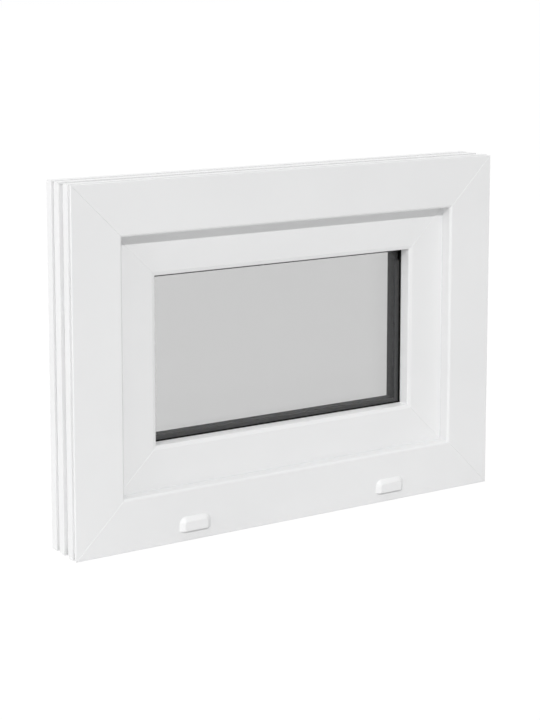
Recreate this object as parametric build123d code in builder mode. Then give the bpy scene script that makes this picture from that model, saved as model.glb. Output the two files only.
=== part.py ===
from build123d import *
import os

# A small bottom-hung uPVC window, closed, seen as it comes from the factory.
# X runs along its width, Y from the outside face towards the room, Z up.
# The origin is on the bottom face of the frame, at mid width and mid depth.
# Every bar's section is drawn once, as inset (distance in from the window's outer
# edge) against depth (distance behind the outside face), and is used on all four sides.

# Driving dimensions, mm
window_width = 580.0
window_height = 420.0
frame_depth = 60.0

# Outer frame section
frame_face = 62.0
frame_lip_depth = 14.0
frame_rebate_inset = 42.0
frame_lip_round = 3.5
frame_edge_round = 0.8
profile_wall = 2.8
profile_web = 1.8
cut_overlap = 0.5

# Ribs and fixing grooves round the outer edge of the frame
flange_width = 2.2
front_groove_width = 4.9
rib_width = 12.6
front_rib_width = 15.4
front_rib_step_width = 4.7
front_rib_step = 1.5
groove_width = 6.2
groove_depth = 5.0
groove_lip = 1.8
groove_undercut = 1.2

# Sash section
seal_gap = 3.0
sash_depth = 60.0
fitting_gap = 12.0
sash_overlap = 8.0
sash_flange_round = 3.0
sash_inner_inset = 112.0
sash_lip_depth = 17.0
sash_lip_height = 20.0
sash_lip_slope_width = 4.8
sash_lip_slope_depth = 1.6
sash_lip_round = 1.8
fitting_groove_width = 12.0
fitting_groove_depth = 9.0
fitting_groove_from_flange = 9.0

# Double glazing
glazing_gasket = 3.0
pane_thickness = 4.0
pane_cavity = 16.0
glass_edge_cover = 15.0
spacer_height = 12.0
spacer_past_sightline = 5.0
sealant_setback = 0.5
setting_block_length = 80.0
setting_block_from_edge = 60.0

# Glazing beads
bead_height = 19.0
bead_top_width = 2.6
bead_foot_rise = 4.0
bead_wall = 1.5
bead_round = 2.0

# Gaskets and seals
gasket_height = 9.0
gasket_past_lip = 0.8
seal_height = 6.0
seal_tip_below_lip = 0.2
seal_foot_width = 2.4
seal_foot_depth = 2.0
seal_foot_clearance = 0.1

# Weld lines at the mitred corners
weld_groove = 0.4
groove_overrun = 0.1

# Drainage slots and their caps on the bottom of the frame
drain_from_side = 152.0
drain_slot_width = 28.0
drain_slot_height = 4.0
drain_slot_above_cap_base = 4.0
cap_base_width = 41.0
cap_base_height = 16.5
cap_face_width = 29.4
cap_face_height = 11.0
cap_projection = 4.0
cap_above_bottom = 12.5
cap_wall = 1.2
cap_corner_round = 4.0

# Handle at the middle of the top rail, on the room side
handle_inset = 68.0
rosette_length = 66.0
rosette_height = 28.0
rosette_thickness = 10.0
rosette_bevel = 2.0
collar_radius = 11.5
collar_thickness = 2.0
lever_height = 20.0
lever_thickness = 12.0
lever_corner_round = 5.0
lever_bend_radius = 14.0
lever_end_round = 4.0
grip_centre_depth = 45.0
grip_reach = 104.0

# Hinges at the bottom, on the room side
hinge_from_side = 92.0
hinge_length = 64.0
hinge_plate = 2.5
hinge_barrel_radius = 5.5
hinge_pin_radius = 2.5
hinge_pin_clearance = 0.15
hinge_pin_head = 2.0
hinge_middle_share = 0.45
hinge_knuckle_gap = 0.3
hinge_axis_off_frame = 6.5
hinge_axis_below_sash = 6.3
hinge_frame_plate_bottom = 5.0
hinge_sash_plate_height = 20.0
hinge_plate_round = 3.0

# Places worked out from the sizes above
outside_face = -frame_depth / 2
frame_inner_face = frame_depth
sash_outer_face = frame_lip_depth + seal_gap
sash_inner_face = sash_outer_face + sash_depth
sash_edge_inset = frame_rebate_inset + fitting_gap
sash_flange_inset = frame_rebate_inset - sash_overlap
sash_flange_face = frame_inner_face + seal_gap
glazing_rebate_inset = sash_inner_inset - sash_lip_height
sash_lip_back = sash_outer_face + sash_lip_depth
outer_pane_face = sash_lip_back + glazing_gasket
inner_pane_face = outer_pane_face + pane_thickness + pane_cavity
glass_back = inner_pane_face + pane_thickness
glass_edge_inset = sash_inner_inset - glass_edge_cover
bead_face = glass_back + glazing_gasket
spacer_inset = sash_inner_inset + spacer_past_sightline

front_groove_start = flange_width
front_rib_start = front_groove_start + front_groove_width
middle_groove_start = front_rib_start + front_rib_width
middle_rib_start = middle_groove_start + groove_width
back_groove_start = middle_rib_start + rib_width
back_rib_start = back_groove_start + groove_width

os.makedirs("parts", exist_ok=True)


def finish(builder, label):
    """Label a finished sub-part and write it to its own file."""
    builder.part.label = label
    export_step(builder.part, f"parts/{label}.step")


def cut_band(inset, inset_end, depth, depth_end):
    """Take a rectangle between two insets and two depths out of the section."""
    with Locations(((inset + inset_end) / 2, (depth + depth_end) / 2)):
        Rectangle(inset_end - inset, depth_end - depth, mode=Mode.SUBTRACT)


def round_corner(section, point, radius):
    """Round the corner of a section that lies at a point."""
    fillet(section.vertices().sort_by_distance(Vector(*point))[0], radius)


# The four sides: where each bar's section plane stands, and how long the side is.
# In each plane, x is the inset, y the depth and z the way that the bar runs.
sides = {
    "bottom": (Plane((0, outside_face, 0), (0, 0, 1), (-1, 0, 0)), window_width),
    "top": (Plane((0, outside_face, window_height), (0, 0, -1), (1, 0, 0)), window_width),
    "left": (
        Plane((-window_width / 2, outside_face, window_height / 2), (1, 0, 0), (0, 0, 1)),
        window_height,
    ),
    "right": (
        Plane((window_width / 2, outside_face, window_height / 2), (-1, 0, 0), (0, 0, -1)),
        window_height,
    ),
}


def mitred_bar(section, side):
    """Run a section along one side and cut both its ends at 45 degrees."""
    plane, length = sides[side]
    with BuildPart() as bar:
        with BuildSketch(plane):
            add(section.sketch)
        extrude(amount=length / 2, both=True)
        for way in (1, -1):
            corner = plane.origin + plane.z_dir * (way * length / 2)
            across = plane.x_dir + plane.z_dir * way
            split(bisect_by=Plane(corner, z_dir=across), keep=Keep.BOTTOM)
    return bar


def cut_weld_grooves(side, faces):
    """Cut the fine V groove that trimming a weld leaves along both mitres of a bar.

    Each face is a depth and the way that the material lies from it, 1 deeper or -1 nearer.
    """
    plane, length = sides[side]
    for way in (1, -1):
        corner = plane.origin + plane.z_dir * (way * length / 2)
        across = plane.x_dir + plane.z_dir * way
        along = plane.x_dir - plane.z_dir * way
        for depth, inward in faces:
            groove = Plane(corner + Vector(0, depth, 0), x_dir=-across, z_dir=along)
            turn = inward if groove.y_dir.Y > 0 else -inward
            reach = weld_groove + groove_overrun
            with BuildSketch(groove) as notch:
                with BuildLine():
                    Polyline(
                        (-groove_overrun, turn * reach),
                        (reach, -turn * groove_overrun),
                        (-groove_overrun, -turn * groove_overrun),
                        close=True,
                    )
                make_face()
            extrude(notch.sketch, amount=2 * sash_inner_inset, mode=Mode.SUBTRACT)


def ring(section):
    """Run a section round all four sides as one closed ring."""
    with BuildPart() as loop:
        for side in sides:
            add(mitred_bar(section, side).part)
    return loop


# Section of the outer frame, with its chambers, fixing grooves and seal groove
seal_middle_inset = frame_face - seal_tip_below_lip - seal_height / 2
with BuildSketch() as frame_section:
    with BuildLine():
        Polyline(
            (0, 0),
            (frame_face, 0),
            (frame_face, frame_lip_depth),
            (frame_rebate_inset, frame_lip_depth),
            (frame_rebate_inset, frame_depth),
            (0, frame_depth),
            close=True,
        )
    make_face()
    round_corner(frame_section, (frame_face, 0), frame_lip_round)
    round_corner(frame_section, (0, 0), frame_edge_round)
    round_corner(frame_section, (frame_rebate_inset, frame_depth), frame_edge_round)
    # open groove behind the thin front flange, and the two hooked fixing grooves
    cut_band(0, groove_depth, front_groove_start, front_rib_start)
    for start in (middle_groove_start, back_groove_start):
        cut_band(0, groove_depth, start, start + groove_width)
        cut_band(groove_lip, groove_depth, start - groove_undercut, start + groove_width + groove_undercut)
    cut_band(0, front_rib_step, middle_groove_start - front_rib_step_width, middle_groove_start)
    # groove that holds the foot of the outer seal
    cut_band(
        seal_middle_inset - seal_foot_width / 2,
        seal_middle_inset + seal_foot_width / 2,
        frame_lip_depth - seal_foot_depth,
        frame_lip_depth,
    )
    # drainage chamber behind the outside wall, reaching into the lip
    chamber_inset = groove_depth + profile_wall
    drain_chamber_back = frame_lip_depth - profile_wall - seal_foot_depth
    cut_band(chamber_inset, frame_face - profile_wall, profile_wall, drain_chamber_back)
    # main chamber, and the room-side chamber
    main_chamber_start = drain_chamber_back + profile_web
    main_chamber_end = back_groove_start + groove_width / 2
    room_chamber_start = main_chamber_end + profile_web
    chamber_top = frame_rebate_inset - profile_wall
    cut_band(chamber_inset, chamber_top, main_chamber_start, main_chamber_end)
    cut_band(chamber_inset, chamber_top, room_chamber_start, frame_depth - profile_wall)
    # hollows inside the ribs, open to the chambers
    groove_wall = groove_undercut + profile_web
    for rib_top, hollow_start, hollow_end in (
        (front_rib_step, main_chamber_start, middle_groove_start - groove_wall),
        (0, middle_rib_start + groove_wall, back_groove_start - groove_wall),
        (0, back_rib_start + groove_wall, frame_depth - profile_wall),
    ):
        cut_band(rib_top + profile_wall, chamber_inset + cut_overlap, hollow_start, hollow_end)

# Section of the sash, with its glazing rebate, room-side flange and fitting groove
fitting_groove_end = sash_flange_face - fitting_groove_from_flange
fitting_groove_start = fitting_groove_end - fitting_groove_width
with BuildSketch() as sash_section:
    with BuildLine():
        Polyline(
            (sash_edge_inset, sash_outer_face),
            (sash_inner_inset - sash_lip_slope_width, sash_outer_face),
            (sash_inner_inset, sash_outer_face + sash_lip_slope_depth),
            (sash_inner_inset, sash_lip_back),
            (glazing_rebate_inset, sash_lip_back),
            (glazing_rebate_inset, sash_inner_face),
            (sash_flange_inset, sash_inner_face),
            (sash_flange_inset, sash_flange_face),
            (sash_edge_inset, sash_flange_face),
            close=True,
        )
    make_face()
    round_corner(sash_section, (sash_inner_inset, sash_outer_face + sash_lip_slope_depth), sash_lip_round)
    round_corner(sash_section, (sash_flange_inset, sash_inner_face), sash_flange_round)
    cut_band(
        sash_edge_inset,
        sash_edge_inset + fitting_groove_depth,
        fitting_groove_start,
        fitting_groove_end,
    )
    # outside chamber, main chamber, and room-side chamber with its flange
    sash_chamber_inset = sash_edge_inset + profile_wall
    sash_chamber_top = glazing_rebate_inset - profile_wall
    sash_outer_chamber_back = sash_lip_back - profile_wall
    sash_main_chamber_end = sash_flange_face - profile_web
    cut_band(
        sash_chamber_inset,
        sash_inner_inset - profile_wall,
        sash_outer_face + sash_lip_slope_depth + profile_wall,
        sash_outer_chamber_back,
    )
    cut_band(
        sash_edge_inset + fitting_groove_depth + profile_wall,
        sash_chamber_top,
        sash_outer_chamber_back + profile_web,
        sash_main_chamber_end,
    )
    cut_band(
        sash_flange_inset + profile_wall,
        sash_chamber_top,
        sash_flange_face + profile_wall,
        sash_inner_face - profile_wall,
    )

# Section of a glazing bead, hollow, with a sloping room-side face
bead_top_inset = glazing_rebate_inset + bead_height
with BuildSketch() as bead_section:
    with BuildLine():
        Polyline(
            (glazing_rebate_inset, bead_face),
            (bead_top_inset, bead_face),
            (bead_top_inset, bead_face + bead_top_width),
            (glazing_rebate_inset + bead_foot_rise, sash_inner_face),
            (glazing_rebate_inset, sash_inner_face),
            close=True,
        )
    make_face()
    offset(amount=-bead_wall, kind=Kind.INTERSECTION, mode=Mode.SUBTRACT)
    round_corner(bead_section, (bead_top_inset, bead_face + bead_top_width), bead_wall)
    round_corner(bead_section, (glazing_rebate_inset + bead_foot_rise, sash_inner_face), bead_round)

# Sections of the seals, gaskets, spacer and edge sealant
with BuildSketch() as frame_seal_section:
    with Locations((seal_middle_inset, frame_lip_depth + seal_gap / 2)):
        Rectangle(seal_height, seal_gap)
    with Locations((seal_middle_inset, frame_lip_depth - seal_foot_depth / 2 + cut_overlap / 2)):
        Rectangle(
            seal_foot_width - 2 * seal_foot_clearance,
            seal_foot_depth + cut_overlap - 2 * seal_foot_clearance,
        )

with BuildSketch() as sash_seal_section:
    with Locations((sash_flange_inset + sash_overlap / 2, frame_inner_face + seal_gap / 2)):
        Rectangle(seal_height, seal_gap)


def gasket_section(depth):
    """A glazing gasket whose tip shows just past the sightline."""
    with BuildSketch() as section:
        middle = sash_inner_inset + gasket_past_lip - gasket_height / 2
        with Locations((middle, depth + glazing_gasket / 2)):
            Rectangle(gasket_height, glazing_gasket)
    return section


spacer_middle = outer_pane_face + pane_thickness + pane_cavity / 2
with BuildSketch() as spacer_section:
    with Locations((spacer_inset - spacer_height / 2, spacer_middle)):
        Rectangle(spacer_height, pane_cavity)

sealant_height = spacer_inset - spacer_height - glass_edge_inset - sealant_setback
with BuildSketch() as sealant_section:
    with Locations((spacer_inset - spacer_height - sealant_height / 2, spacer_middle)):
        Rectangle(sealant_height, pane_cavity)

# Outer frame: four mitred bars, welded at the corners
frame_names = {
    "top": "frame_head",
    "bottom": "frame_sill",
    "left": "frame_jamb_left",
    "right": "frame_jamb_right",
}
drain_centres = (-window_width / 2 + drain_from_side, window_width / 2 - drain_from_side)
slot_height = cap_above_bottom + drain_slot_above_cap_base + drain_slot_height / 2
for side, name in frame_names.items():
    with BuildPart() as frame_bar:
        add(mitred_bar(frame_section, side).part)
        cut_weld_grooves(side, ((0, 1), (frame_depth, -1)))
        if side == "bottom":
            for slot_centre in drain_centres:
                with BuildSketch(Plane.XZ.offset(-outside_face)):
                    with Locations((slot_centre, slot_height)):
                        SlotOverall(drain_slot_width, drain_slot_height)
                extrude(amount=-profile_wall - cut_overlap, mode=Mode.SUBTRACT)
    finish(frame_bar, name)

# Sash: four mitred bars, welded at the corners
sash_names = {
    "top": "sash_rail_top",
    "bottom": "sash_rail_bottom",
    "left": "sash_stile_left",
    "right": "sash_stile_right",
}
for side, name in sash_names.items():
    with BuildPart() as sash_bar:
        add(mitred_bar(sash_section, side).part)
        cut_weld_grooves(side, ((sash_outer_face, 1), (sash_inner_face, -1)))
    finish(sash_bar, name)

for side in sides:
    finish(mitred_bar(bead_section, side), f"bead_{side}")

finish(ring(frame_seal_section), "frame_seal")
finish(ring(sash_seal_section), "sash_seal")
finish(ring(gasket_section(sash_lip_back)), "glazing_gasket_outer")
finish(ring(gasket_section(glass_back)), "glazing_gasket_inner")
finish(ring(spacer_section), "spacer_bar")
finish(ring(sealant_section), "edge_sealant")

# Panes of the double glazing
pane_width = window_width - 2 * glass_edge_inset
pane_height = window_height - 2 * glass_edge_inset
for name, depth in (("pane_outer", outer_pane_face), ("pane_inner", inner_pane_face)):
    with BuildPart() as pane:
        with BuildSketch(Plane.XZ.offset(-outside_face - depth)):
            with Locations((0, window_height / 2)):
                Rectangle(pane_width, pane_height)
        extrude(amount=-pane_thickness)
    finish(pane, name)

# Blocks in the sash's rebate that the glazing stands on
for name, way in (("setting_block_left", -1), ("setting_block_right", 1)):
    with BuildPart() as block:
        block_centre = way * (pane_width / 2 - setting_block_from_edge)
        with BuildSketch(Plane.XY.offset(glazing_rebate_inset)):
            with Locations((block_centre, outside_face + (outer_pane_face + glass_back) / 2)):
                Rectangle(setting_block_length, glass_back - outer_pane_face)
        extrude(amount=glass_edge_inset - glazing_rebate_inset)
    finish(block, name)


# Drain caps: bevelled hoods, open at the bottom, over the drainage slots
cap_front = outside_face - cap_projection
cap_base_top = cap_above_bottom + cap_base_height
cap_face_top = cap_above_bottom + cap_face_height
for name, centre in zip(("drain_cap_left", "drain_cap_right"), drain_centres):
    with BuildPart() as cap:
        # the bevel of the sides, then that of the top
        with BuildSketch(Plane.XY.offset(cap_above_bottom)):
            with BuildLine():
                Polyline(
                    (centre - cap_base_width / 2, outside_face),
                    (centre + cap_base_width / 2, outside_face),
                    (centre + cap_face_width / 2, cap_front),
                    (centre - cap_face_width / 2, cap_front),
                    close=True,
                )
            make_face()
        extrude(amount=cap_base_height)
        with BuildSketch(Plane.YZ.offset(centre)):
            with BuildLine():
                Polyline(
                    (outside_face, cap_above_bottom),
                    (outside_face, cap_base_top),
                    (cap_front, cap_face_top),
                    (cap_front, cap_above_bottom),
                    close=True,
                )
            make_face()
        extrude(amount=cap_base_width / 2, both=True, mode=Mode.INTERSECT)
        # the two edges that slope in every direction are the bevel's top corners
        slopes = cap.edges().filter_by(Plane.XZ, reverse=True).filter_by(Plane.XY, reverse=True)
        fillet(slopes, cap_corner_round)
        openings = [cap.faces().sort_by(Axis.Y)[-1], cap.faces().sort_by(Axis.Z)[0]]
        offset(amount=-cap_wall, openings=openings)
    finish(cap, name)

# Handle: rosette screwed to the top rail, and the lever that turns in it
room_face = outside_face + sash_inner_face
handle_height = window_height - handle_inset
handle_plane = Plane((0, room_face, handle_height), (-1, 0, 0), (0, 1, 0))
with BuildPart() as rosette:
    with BuildSketch(handle_plane):
        SlotOverall(rosette_length, rosette_height)
    extrude(amount=rosette_thickness)
    chamfer(rosette.faces().sort_by(Axis.Y)[-1].edges(), rosette_bevel)
finish(rosette, "handle_rosette")

lever_plane = handle_plane.offset(rosette_thickness)
bend_start = grip_centre_depth - rosette_thickness - lever_bend_radius
with BuildPart() as lever:
    with BuildSketch(lever_plane):
        Circle(collar_radius)
    extrude(amount=collar_thickness)
    with BuildSketch(lever_plane) as lever_section:
        RectangleRounded(lever_thickness, lever_height, lever_corner_round)
    extrude(amount=bend_start)
    with BuildSketch(lever_plane.offset(bend_start)):
        add(lever_section.sketch_local)
    bend_axis = Axis((lever_bend_radius, lever_plane.origin.Y + bend_start, handle_height), (0, 0, -1))
    revolve(axis=bend_axis, revolution_arc=90)
    extrude(lever.faces().sort_by(Axis.X)[-1], amount=grip_reach - lever_bend_radius)
    fillet(lever.faces().sort_by(Axis.X)[-1].edges(), lever_end_round)
finish(lever, "handle_lever")


def hinge(side, way):
    """One hinge at the bottom of the sash: frame leaf, sash leaf and pin."""
    centre = way * (window_width / 2 - hinge_from_side)
    axis_y = outside_face + frame_inner_face + hinge_axis_off_frame
    axis_z = sash_flange_inset - hinge_axis_below_sash
    frame_y = outside_face + frame_inner_face
    middle_length = hinge_length * hinge_middle_share
    end_length = (hinge_length - middle_length) / 2 - hinge_knuckle_gap
    end_offset = hinge_length / 2 - end_length / 2
    plate_top = axis_z - hinge_barrel_radius - hinge_knuckle_gap
    across = Plane((centre, axis_y, axis_z), (0, 1, 0), (1, 0, 0))

    with BuildPart() as frame_leaf:
        with BuildSketch(Plane.XZ.offset(-frame_y)):
            with Locations((centre, (hinge_frame_plate_bottom + plate_top) / 2)):
                Rectangle(hinge_length, plate_top - hinge_frame_plate_bottom)
        extrude(amount=-hinge_plate)
        corners = frame_leaf.edges().filter_by(Axis.Y).group_by(Axis.Z)[0]
        fillet(corners, hinge_plate_round)
        for end in (-1, 1):
            with BuildSketch(across.offset(end * end_offset)):
                Circle(hinge_barrel_radius)
                with Locations((-hinge_axis_off_frame + hinge_plate / 2, -hinge_barrel_radius / 2)):
                    Rectangle(hinge_plate, hinge_barrel_radius + 2 * hinge_knuckle_gap)
            extrude(amount=end_length / 2, both=True)
        with BuildSketch(across):
            Circle(hinge_pin_radius + hinge_pin_clearance)
        extrude(amount=hinge_length, both=True, mode=Mode.SUBTRACT)
    finish(frame_leaf, f"hinge_frame_leaf_{side}")

    sash_plate_bottom = sash_flange_inset + sash_flange_round
    arm_depth = room_face + hinge_plate - axis_y
    with BuildPart() as sash_leaf:
        with BuildSketch(Plane.XZ.offset(-room_face)):
            with Locations((centre, sash_plate_bottom + hinge_sash_plate_height / 2)):
                Rectangle(hinge_length, hinge_sash_plate_height)
        extrude(amount=-hinge_plate)
        corners = sash_leaf.edges().filter_by(Axis.Y).group_by(Axis.Z)[-1]
        fillet(corners, hinge_plate_round)
        with BuildSketch(across):
            Circle(hinge_barrel_radius)
            with Locations((arm_depth / 2, hinge_barrel_radius - hinge_plate / 2)):
                Rectangle(arm_depth, hinge_plate)
            with Locations(
                (arm_depth - hinge_plate / 2, (hinge_barrel_radius + sash_plate_bottom - axis_z) / 2)
            ):
                Rectangle(hinge_plate, sash_plate_bottom - axis_z - hinge_barrel_radius + 2 * hinge_plate)
        extrude(amount=middle_length / 2, both=True)
        with BuildSketch(across):
            Circle(hinge_pin_radius + hinge_pin_clearance)
        extrude(amount=hinge_length, both=True, mode=Mode.SUBTRACT)
    finish(sash_leaf, f"hinge_sash_leaf_{side}")

    with BuildPart() as pin:
        with BuildSketch(across):
            Circle(hinge_pin_radius)
        extrude(amount=hinge_length / 2, both=True)
        for end in (-1, 1):
            with BuildSketch(across.offset(end * (hinge_length + hinge_pin_head) / 2)):
                Circle(hinge_barrel_radius)
            extrude(amount=hinge_pin_head / 2, both=True)
    finish(pin, f"hinge_pin_{side}")


for side, way in (("left", -1), ("right", 1)):
    hinge(side, way)
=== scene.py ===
import bmesh
import bpy
import math
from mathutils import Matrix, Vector


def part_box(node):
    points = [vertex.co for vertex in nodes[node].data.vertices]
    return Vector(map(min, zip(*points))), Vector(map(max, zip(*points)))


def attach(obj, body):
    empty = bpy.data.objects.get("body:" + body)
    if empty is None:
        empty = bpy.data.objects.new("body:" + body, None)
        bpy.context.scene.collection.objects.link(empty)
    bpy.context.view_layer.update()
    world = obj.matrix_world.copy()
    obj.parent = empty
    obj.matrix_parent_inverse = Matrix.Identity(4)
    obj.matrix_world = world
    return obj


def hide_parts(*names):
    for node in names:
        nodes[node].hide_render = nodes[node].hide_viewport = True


# A small bottom-hung window of white profiles, closed, seen from outside.
# Metres, in the frame of the solids: X width, Y towards the room, Z up.
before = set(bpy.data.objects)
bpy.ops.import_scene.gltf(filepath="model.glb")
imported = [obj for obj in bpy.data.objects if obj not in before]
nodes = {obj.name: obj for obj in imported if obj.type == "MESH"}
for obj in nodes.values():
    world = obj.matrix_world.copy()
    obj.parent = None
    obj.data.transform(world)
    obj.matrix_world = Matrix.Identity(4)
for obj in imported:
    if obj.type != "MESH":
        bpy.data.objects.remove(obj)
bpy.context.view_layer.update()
scene = bpy.context.scene

CAMERA_LENS_MM = 87.25
CAMERA_SHIFT = -0.22
CAMERA_PLACE = (-1.1050, -1.7125, 0.6468)
CAMERA_DOWN_DEGREES = 7.501
CAMERA_TURN_DEGREES = -32.424

# Colours: the two ends that each surface is mottled between
PROFILE_WHITE = ((0.800, 0.802, 0.805), (0.822, 0.824, 0.826))
CAP_WHITE = ((0.800, 0.802, 0.805), (0.825, 0.826, 0.828))
COAT_WHITE = ((0.80, 0.80, 0.80), (0.82, 0.82, 0.82))
GASKET_BLACK = ((0.003, 0.003, 0.003), (0.007, 0.007, 0.007))
SEAL_GREY = ((0.76, 0.765, 0.77), (0.80, 0.805, 0.81))
SEALANT_BLACK = ((0.008, 0.008, 0.009), (0.015, 0.015, 0.016))
SPACER_INNER = ((0.004, 0.004, 0.005), (0.009, 0.009, 0.010))
# Painted reflection: the lighter grey that the spacer's faces towards the panes are painted with, not the
# spacer's own colour
SPACER_FRONT_PAINTED_REFLECTION = ((0.235, 0.238, 0.241), (0.265, 0.268, 0.271))
BLOCK_BLUE = ((0.05, 0.10, 0.24), (0.07, 0.13, 0.28))
STEEL = ((0.50, 0.50, 0.50), (0.62, 0.62, 0.63))
GLASS_GREY = (0.743, 0.743, 0.743)

# Hinge screws: rings of the head as a share of the radius and a height above the plate
SCREW_RADIUS = 0.0036
SCREW_SPACING = 0.021
SCREW_STEPS = 32
SCREW_CROWN = 0.00035
SCREW_RINGS = ((1.0, -0.0010), (1.0, -0.0004), (0.96, 0.0001), (0.7, 0.0003), (0.5, SCREW_CROWN))
RECESS_HALF_WIDTH = 0.13
RECESS_ARM = 0.44
RECESS_TAPER = 0.8
RECESS_FLOOR = -0.0005
# Each hinge leaf's name, the height of its row of screws, and the Y of its face
HINGE_LEAVES = (("frame", 0.0125, 0.0325), ("sash", 0.0470, 0.0495))

CAP_CORNER = 0.0085
CAP_FACE_CORNER = 0.003
CAP_BEVEL = 0.0057
CAP_BEVEL_POWER = 1.75
CAP_WALL = 0.0012
CAP_CORNER_STEPS = 14
CAP_RINGS = 12
CAP_SHARP_DEGREES = 14

FLOOR_HALF = 30.0
FLOOR_GREY = 0.71
FLOOR_ROUGHNESS = 0.9
FLOOR_WHITE = 1.06
FLOOR_WHITE_SHARE = 0.9
AMBIENT = 0.38
BACKDROP = 1.0

LAMP_AIM = (0, 0, 0.2)
KEY_STRENGTH = 1.57
KEY_ANGLE_DEGREES = 2.5
KEY_DISTANCE = 4
KEY_HEIGHT = math.radians(35)
KEY_SIDE = math.radians(25)
# Each area lamp's name, watts, place and side
AREA_LAMPS = (
    ("fill_left", 30.0, (-3.2, -0.35, 0.6), 1.6),
    ("fill_above", 25.0, (0, 0.1, 3.4), 2.0),
    ("room_side", 34.0, (-0.7, 2.8, 1.1), 0.9),
)


# Camera
camera_data = bpy.data.cameras.new("camera")
camera_data.lens = CAMERA_LENS_MM
camera_data.shift_y = CAMERA_SHIFT
camera = bpy.data.objects.new("camera", camera_data)
camera.location = CAMERA_PLACE
camera.rotation_euler = (math.radians(90 - CAMERA_DOWN_DEGREES), 0, math.radians(CAMERA_TURN_DEGREES))
scene.collection.objects.link(camera)
scene.camera = camera


# Node helpers
def new_material(name):
    """A material, its node tree and its Principled shader."""
    material = bpy.data.materials.new(name)
    material.use_nodes = True
    tree = material.node_tree
    return material, tree, tree.nodes["Principled BSDF"]


def noise(tree, scale, detail=2.0, roughness=0.5, stretch=(1, 1, 1)):
    """A noise texture's value in the object's coordinates, stretched by a scale for each axis."""
    place = tree.nodes.new("ShaderNodeTexCoord")
    mapping = tree.nodes.new("ShaderNodeMapping")
    mapping.inputs["Scale"].default_value = stretch
    tree.links.new(place.outputs["Object"], mapping.inputs["Vector"])
    made = tree.nodes.new("ShaderNodeTexNoise")
    made.inputs["Scale"].default_value = scale
    made.inputs["Detail"].default_value = detail
    made.inputs["Roughness"].default_value = roughness
    tree.links.new(mapping.outputs["Vector"], made.inputs["Vector"])
    return made.outputs["Fac"]


def spread(tree, value, low=0.0, high=1.0):
    """A noise value, mapped from its usual range to low..high."""
    made = tree.nodes.new("ShaderNodeMapRange")
    made.inputs["From Min"].default_value = 0.3
    made.inputs["From Max"].default_value = 0.7
    made.inputs["To Min"].default_value = low
    made.inputs["To Max"].default_value = high
    tree.links.new(value, made.inputs["Value"])
    return made.outputs["Result"]


def between(tree, value, low, high):
    """A colour between two, by a value. Each end is a colour or a socket."""
    made = tree.nodes.new("ShaderNodeMix")
    made.data_type = "RGBA"
    tree.links.new(value, made.inputs[0])
    # Inputs 6 and 7 are the two colours
    for index, end in ((6, low), (7, high)):
        if isinstance(end, bpy.types.NodeSocket):
            tree.links.new(end, made.inputs[index])
        else:
            made.inputs[index].default_value = (*end, 1)
    return made.outputs[2]


def bump(tree, height, strength, distance, below=None):
    """A bump node's normal from a height value."""
    made = tree.nodes.new("ShaderNodeBump")
    made.inputs["Strength"].default_value = strength
    made.inputs["Distance"].default_value = distance
    tree.links.new(height, made.inputs["Height"])
    if below is not None:
        tree.links.new(below, made.inputs["Normal"])
    return made.outputs["Normal"]


def dress(tree, shader, colour, gloss, normal):
    """Join a colour, a roughness and a normal to the shader."""
    tree.links.new(colour, shader.inputs["Base Color"])
    tree.links.new(gloss, shader.inputs["Roughness"])
    tree.links.new(normal, shader.inputs["Normal"])


def mixed_surface(tree, share, first, second, output):
    """Send a mix of two shaders to the tree's output."""
    mixed = tree.nodes.new("ShaderNodeMixShader")
    tree.links.new(share, mixed.inputs[0])
    tree.links.new(first, mixed.inputs[1])
    tree.links.new(second, mixed.inputs[2])
    tree.links.new(mixed.outputs["Shader"], tree.nodes[output].inputs["Surface"])


# Materials
def profile_white(name, along, colours, gloss):
    """White extruded profile: faint draw lines along the bar, and a soft unevenness of gloss."""
    material, tree, shader = new_material(name)
    draw = [900.0, 900.0, 900.0]
    draw[along] = 1.5
    lines = noise(tree, 1.0, 3.0, 0.6, draw)
    soft = noise(tree, 9.0, 3.0)
    grain = noise(tree, 420.0)
    dress(
        tree,
        shader,
        between(tree, spread(tree, soft), *colours),
        spread(tree, soft, gloss - 0.04, gloss + 0.06),
        bump(tree, lines, 0.10, 0.0003, bump(tree, grain, 0.05, 0.0004)),
    )
    shader.inputs["IOR"].default_value = 1.5
    return material


def moulded(name, colours, gloss, grain):
    """Moulded or coated surface with a fine even grain."""
    material, tree, shader = new_material(name)
    soft = noise(tree, 35.0, 3.0)
    fine = noise(tree, grain)
    dress(
        tree,
        shader,
        between(tree, spread(tree, soft), *colours),
        spread(tree, fine, gloss - 0.05, gloss + 0.07),
        bump(tree, fine, 0.15, 0.0001),
    )
    shader.inputs["IOR"].default_value = 1.5
    return material


def rubber(name, colours, gloss, specular=0.3):
    """Extruded rubber or sealant: matte, a little mottled."""
    material, tree, shader = new_material(name)
    mottle = noise(tree, 160.0, 4.0, 0.6)
    dress(
        tree,
        shader,
        between(tree, spread(tree, mottle), *colours),
        spread(tree, mottle, gloss - 0.06, gloss + 0.06),
        bump(tree, mottle, 0.2, 0.0002),
    )
    shader.inputs["Specular IOR Level"].default_value = specular
    return material


def pane_glass(name, colour):
    """Clear float glass that lets lamp light through."""
    material, tree, shader = new_material(name)
    shader.inputs["Base Color"].default_value = (*colour, 1)
    shader.inputs["Transmission Weight"].default_value = 1.0
    shader.inputs["IOR"].default_value = 1.45
    tree.links.new(spread(tree, noise(tree, 6.0, 1.0), 0.0, 0.012), shader.inputs["Roughness"])
    clear = tree.nodes.new("ShaderNodeBsdfTransparent")
    clear.inputs["Color"].default_value = (*colour, 1)
    path = tree.nodes.new("ShaderNodeLightPath")
    mixed_surface(
        tree, path.outputs["Is Shadow Ray"], shader.outputs["BSDF"], clear.outputs["BSDF"], "Material Output"
    )
    return material


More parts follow.
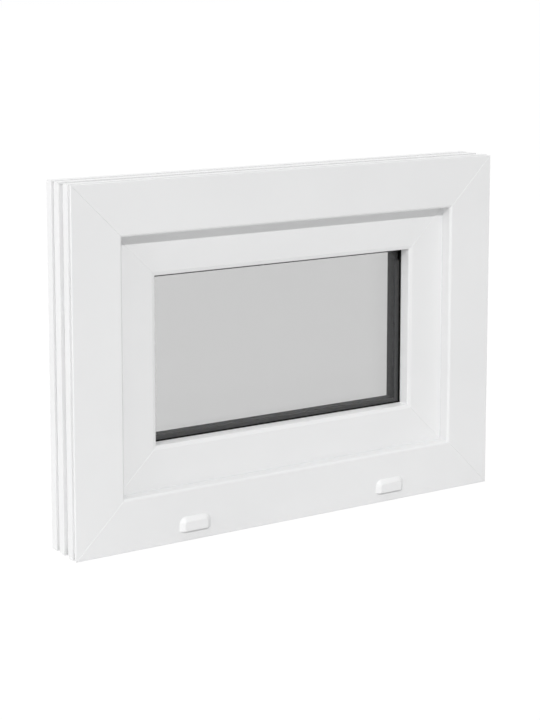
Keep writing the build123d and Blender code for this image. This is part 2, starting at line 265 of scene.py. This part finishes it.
def spacer_plastic(name, inner, painted_reflection):
    """Warm-edge spacer: a dark inner face, and its faces towards the panes painted lighter grey as a painted
    reflection.
    """
    material, tree, shader = new_material(name)
    fine = noise(tree, 700.0)
    amount = spread(tree, fine)
    # Mask by the normal's Y: faces towards the panes get the lighter grey of the painted reflection, the inner
    # faces keep the dark colour
    geometry = tree.nodes.new("ShaderNodeNewGeometry")
    parts = tree.nodes.new("ShaderNodeSeparateXYZ")
    tree.links.new(geometry.outputs["Normal"], parts.inputs["Vector"])
    facing = tree.nodes.new("ShaderNodeMath")
    facing.operation = "ABSOLUTE"
    tree.links.new(parts.outputs["Y"], facing.inputs[0])
    dress(
        tree,
        shader,
        between(tree, facing.outputs["Value"], between(tree, amount, *inner), between(tree, amount, *painted_reflection)),
        spread(tree, fine, 0.48, 0.6),
        bump(tree, fine, 0.15, 0.0001),
    )
    shader.inputs["Specular IOR Level"].default_value = 0.08
    return material


def plated_steel(name, colours):
    """Bright plated steel, brushed round its length."""
    material, tree, shader = new_material(name)
    marks = noise(tree, 1.0, 3.0, 0.6, (60, 900, 900))
    dress(
        tree,
        shader,
        between(tree, spread(tree, marks), *colours),
        spread(tree, marks, 0.22, 0.36),
        bump(tree, marks, 0.1, 0.0002),
    )
    shader.inputs["Metallic"].default_value = 1.0
    return material


white_across = profile_white("profile_white_across", 0, PROFILE_WHITE, 0.32)
white_upright = profile_white("profile_white_upright", 2, PROFILE_WHITE, 0.32)
cap_white = moulded("cap_white", CAP_WHITE, 0.48, 900.0)
coat_white = moulded("coat_white", COAT_WHITE, 0.36, 1400.0)
glass = pane_glass("pane_glass", GLASS_GREY)
gasket_black = rubber("gasket_black", GASKET_BLACK, 0.75, 0.06)
seal_grey = rubber("seal_grey", SEAL_GREY, 0.65)
spacer_black = spacer_plastic("spacer_black", SPACER_INNER, SPACER_FRONT_PAINTED_REFLECTION)
sealant_black = rubber("sealant_black", SEALANT_BLACK, 0.7)
block_plastic = moulded("block_plastic", BLOCK_BLUE, 0.5, 700.0)
pin_steel = plated_steel("pin_steel", STEEL)


def paint(names, material):
    """Give CAD nodes a material."""
    for name in names:
        materials = nodes[name].data.materials
        materials.clear()
        materials.append(material)


paint(["frame_head", "frame_sill", "sash_rail_top", "sash_rail_bottom", "bead_top", "bead_bottom"], white_across)
paint(
    ["frame_jamb_left", "frame_jamb_right", "sash_stile_left", "sash_stile_right", "bead_left", "bead_right"],
    white_upright,
)
paint(["pane_outer", "pane_inner"], glass)
paint(["glazing_gasket_outer", "glazing_gasket_inner"], gasket_black)
paint(["frame_seal", "sash_seal"], seal_grey)
paint(["spacer_bar"], spacer_black)
paint(["edge_sealant"], sealant_black)
paint(["setting_block_left", "setting_block_right"], block_plastic)
paint(["handle_lever", "handle_rosette"], coat_white)
paint([name for name in nodes if name.startswith("hinge_") and "leaf" in name], coat_white)
paint(["hinge_pin_left", "hinge_pin_right"], pin_steel)


def made_from(build, name, material):
    """A new object from a bmesh, in the scene, with one material."""
    bmesh.ops.recalc_face_normals(build, faces=build.faces)
    mesh = bpy.data.meshes.new(name)
    build.to_mesh(mesh)
    build.free()
    mesh.materials.append(material)
    made = bpy.data.objects.new(name, mesh)
    scene.collection.objects.link(made)
    return made


# Screws on the hinges
def screw(name, place, radius):
    """A countersunk screw head with a cross recess, facing the room, its rim at the plate's face."""
    build = bmesh.new()
    turns = [2 * math.pi * k / SCREW_STEPS for k in range(SCREW_STEPS)]
    loops = [
        [
            build.verts.new((radius * share * math.cos(turn), rise, radius * share * math.sin(turn)))
            for turn in turns
        ]
        for share, rise in SCREW_RINGS
    ]
    for outer, inner in zip(loops[:-1], loops[1:]):
        for k in range(SCREW_STEPS):
            following = (k + 1) % SCREW_STEPS
            build.faces.new((outer[k], outer[following], inner[following], inner[k]))
    build.faces.new(loops[0])
    half, arm = radius * RECESS_HALF_WIDTH, radius * RECESS_ARM
    outline = [
        (arm, -half), (arm, half), (half, half), (half, arm), (-half, arm), (-half, half),
        (-arm, half), (-arm, -half), (-half, -half), (-half, -arm), (half, -arm), (half, -half),
    ]
    corners = len(outline)
    top = [build.verts.new((x, SCREW_CROWN, z)) for x, z in outline]
    low = [build.verts.new((x * RECESS_TAPER, RECESS_FLOOR, z * RECESS_TAPER)) for x, z in outline]
    for k in range(corners):
        following = (k + 1) % corners
        build.faces.new((top[k], top[following], low[following], low[k]))
    build.faces.new(low)
    edges = [build.edges.get((top[k], top[(k + 1) % corners])) for k in range(corners)]
    edges += [build.edges.get((loops[-1][k], loops[-1][(k + 1) % SCREW_STEPS])) for k in range(SCREW_STEPS)]
    bmesh.ops.triangle_fill(build, use_beauty=True, edges=edges)
    made = made_from(build, name, pin_steel)
    made.location = place
    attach(made, "root")


for side in ("left", "right"):
    for part, height, face in HINGE_LEAVES:
        low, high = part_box(f"hinge_{part}_leaf_{side}")
        centre = (low[0] + high[0]) / 2
        for number, offset in enumerate((-SCREW_SPACING, 0.0, SCREW_SPACING)):
            screw(f"screw_{part}_{side}_{number + 1}", (centre + offset, face, height), SCREW_RADIUS)


# Drain caps
def cap_outline(low, high, inset, share):
    """The cap's outline in X and Z: inset at the sides and the top, rounder in the corners near its base."""
    left, right, top = low[0] + inset, high[0] - inset, high[2] - inset
    corner = CAP_CORNER + (CAP_FACE_CORNER - CAP_CORNER) * share
    turns = [math.radians(90 * k / CAP_CORNER_STEPS) for k in range(CAP_CORNER_STEPS + 1)]
    arc = [(corner * (1 - math.cos(turn)), corner * (1 - math.sin(turn))) for turn in turns]
    points = [(left, low[2])]
    points += [(left + across, top - down) for across, down in arc]
    points += [(right - across, top - down) for across, down in reversed(arc)]
    points.append((right, low[2]))
    return points


def cap_skin(build, low, high, inset, proud):
    """One skin of the hood, from the frame's face to its own front, and the skin's rings of points."""
    rings = []
    for k in range(CAP_RINGS + 1):
        turn = math.radians(90 * k / CAP_RINGS)
        share = 1 - abs(math.cos(turn)) ** CAP_BEVEL_POWER
        y = high[1] - proud * math.sin(turn) ** CAP_BEVEL_POWER
        outline = cap_outline(low, high, inset + CAP_BEVEL * share, share)
        rings.append([build.verts.new((x, y, z)) for x, z in outline])
    for near, far in zip(rings[:-1], rings[1:]):
        for k in range(len(near) - 1):
            build.faces.new((near[k], near[k + 1], far[k + 1], far[k]))
    build.faces.new(rings[-1])
    return rings


def drain_cap(node):
    """A hollow hood with a bevelled front, open at the bottom, over a drainage slot."""
    low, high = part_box(node)
    build = bmesh.new()
    outer = cap_skin(build, low, high, 0.0, high[1] - low[1])
    inner = cap_skin(build, low, high, CAP_WALL, high[1] - low[1] - CAP_WALL)
    for k in range(len(outer[0]) - 1):
        build.faces.new((outer[0][k], outer[0][k + 1], inner[0][k + 1], inner[0][k]))
    for end in (0, -1):
        for k in range(CAP_RINGS):
            build.faces.new((outer[k][end], outer[k + 1][end], inner[k + 1][end], inner[k][end]))
    build.faces.new((outer[-1][0], outer[-1][-1], inner[-1][-1], inner[-1][0]))
    made = made_from(build, node + "_hood", cap_white)
    made.data.shade_smooth()
    made.data.set_sharp_from_angle(angle=math.radians(CAP_SHARP_DEGREES))
    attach(made, "root")
    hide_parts(node)


for side in ("left", "right"):
    drain_cap("drain_cap_" + side)


# Floor
def background_rays(tree):
    """1 for camera, glossy and transmission rays, which see the white background, else 0."""
    path = tree.nodes.new("ShaderNodeLightPath")
    value = path.outputs["Is Camera Ray"]
    for kind in ("Is Glossy Ray", "Is Transmission Ray"):
        either = tree.nodes.new("ShaderNodeMath")
        either.operation = "MAXIMUM"
        tree.links.new(value, either.inputs[0])
        tree.links.new(path.outputs[kind], either.inputs[1])
        value = either.outputs["Value"]
    return value


floor_mesh = bpy.data.meshes.new("floor")
floor_mesh.from_pydata(
    [(x * FLOOR_HALF, y * FLOOR_HALF, 0) for x, y in ((-1, -1), (1, -1), (1, 1), (-1, 1))], [], [(0, 1, 2, 3)]
)
floor = bpy.data.objects.new("floor", floor_mesh)
scene.collection.objects.link(floor)
floor_material, tree, shader = new_material("floor")
shader.inputs["Base Color"].default_value = (FLOOR_GREY, FLOOR_GREY, FLOOR_GREY, 1)
shader.inputs["Roughness"].default_value = FLOOR_ROUGHNESS
white = tree.nodes.new("ShaderNodeEmission")
white.inputs["Strength"].default_value = FLOOR_WHITE
share = tree.nodes.new("ShaderNodeMath")
share.operation = "MULTIPLY"
share.inputs[1].default_value = FLOOR_WHITE_SHARE
tree.links.new(background_rays(tree), share.inputs[0])
mixed_surface(
    tree, share.outputs["Value"], shader.outputs["BSDF"], white.outputs["Emission"], "Material Output"
)
floor_mesh.materials.append(floor_material)


# Lights
world = bpy.data.worlds.new("world")
scene.world = world
world.use_nodes = True
tree = world.node_tree
ambient = tree.nodes["Background"]
backdrop = tree.nodes.new("ShaderNodeBackground")
for background, strength in ((ambient, AMBIENT), (backdrop, BACKDROP)):
    background.inputs["Color"].default_value = (1, 1, 1, 1)
    background.inputs["Strength"].default_value = strength
mixed_surface(
    tree, background_rays(tree), ambient.outputs["Background"], backdrop.outputs["Background"], "World Output"
)


def lamp(name, kind, energy, place):
    """Add a lamp at a place, pointed at the middle of the window, and return its data."""
    data = bpy.data.lights.new(name, kind)
    data.energy = energy
    made = bpy.data.objects.new(name, data)
    made.location = place
    made.rotation_euler = (Vector(LAMP_AIM) - Vector(place)).to_track_quat("-Z", "Y").to_euler()
    scene.collection.objects.link(made)
    return data


key_place = (
    -KEY_DISTANCE * math.cos(KEY_HEIGHT) * math.sin(KEY_SIDE),
    -KEY_DISTANCE * math.cos(KEY_HEIGHT) * math.cos(KEY_SIDE),
    KEY_DISTANCE * math.sin(KEY_HEIGHT) + LAMP_AIM[2],
)
lamp("key", "SUN", KEY_STRENGTH, key_place).angle = math.radians(KEY_ANGLE_DEGREES)
for name, watts, place, side in AREA_LAMPS:
    data = lamp(name, "AREA", watts, place)
    data.shape = "RECTANGLE"
    data.size = data.size_y = side

scene.view_settings.view_transform = "Standard"
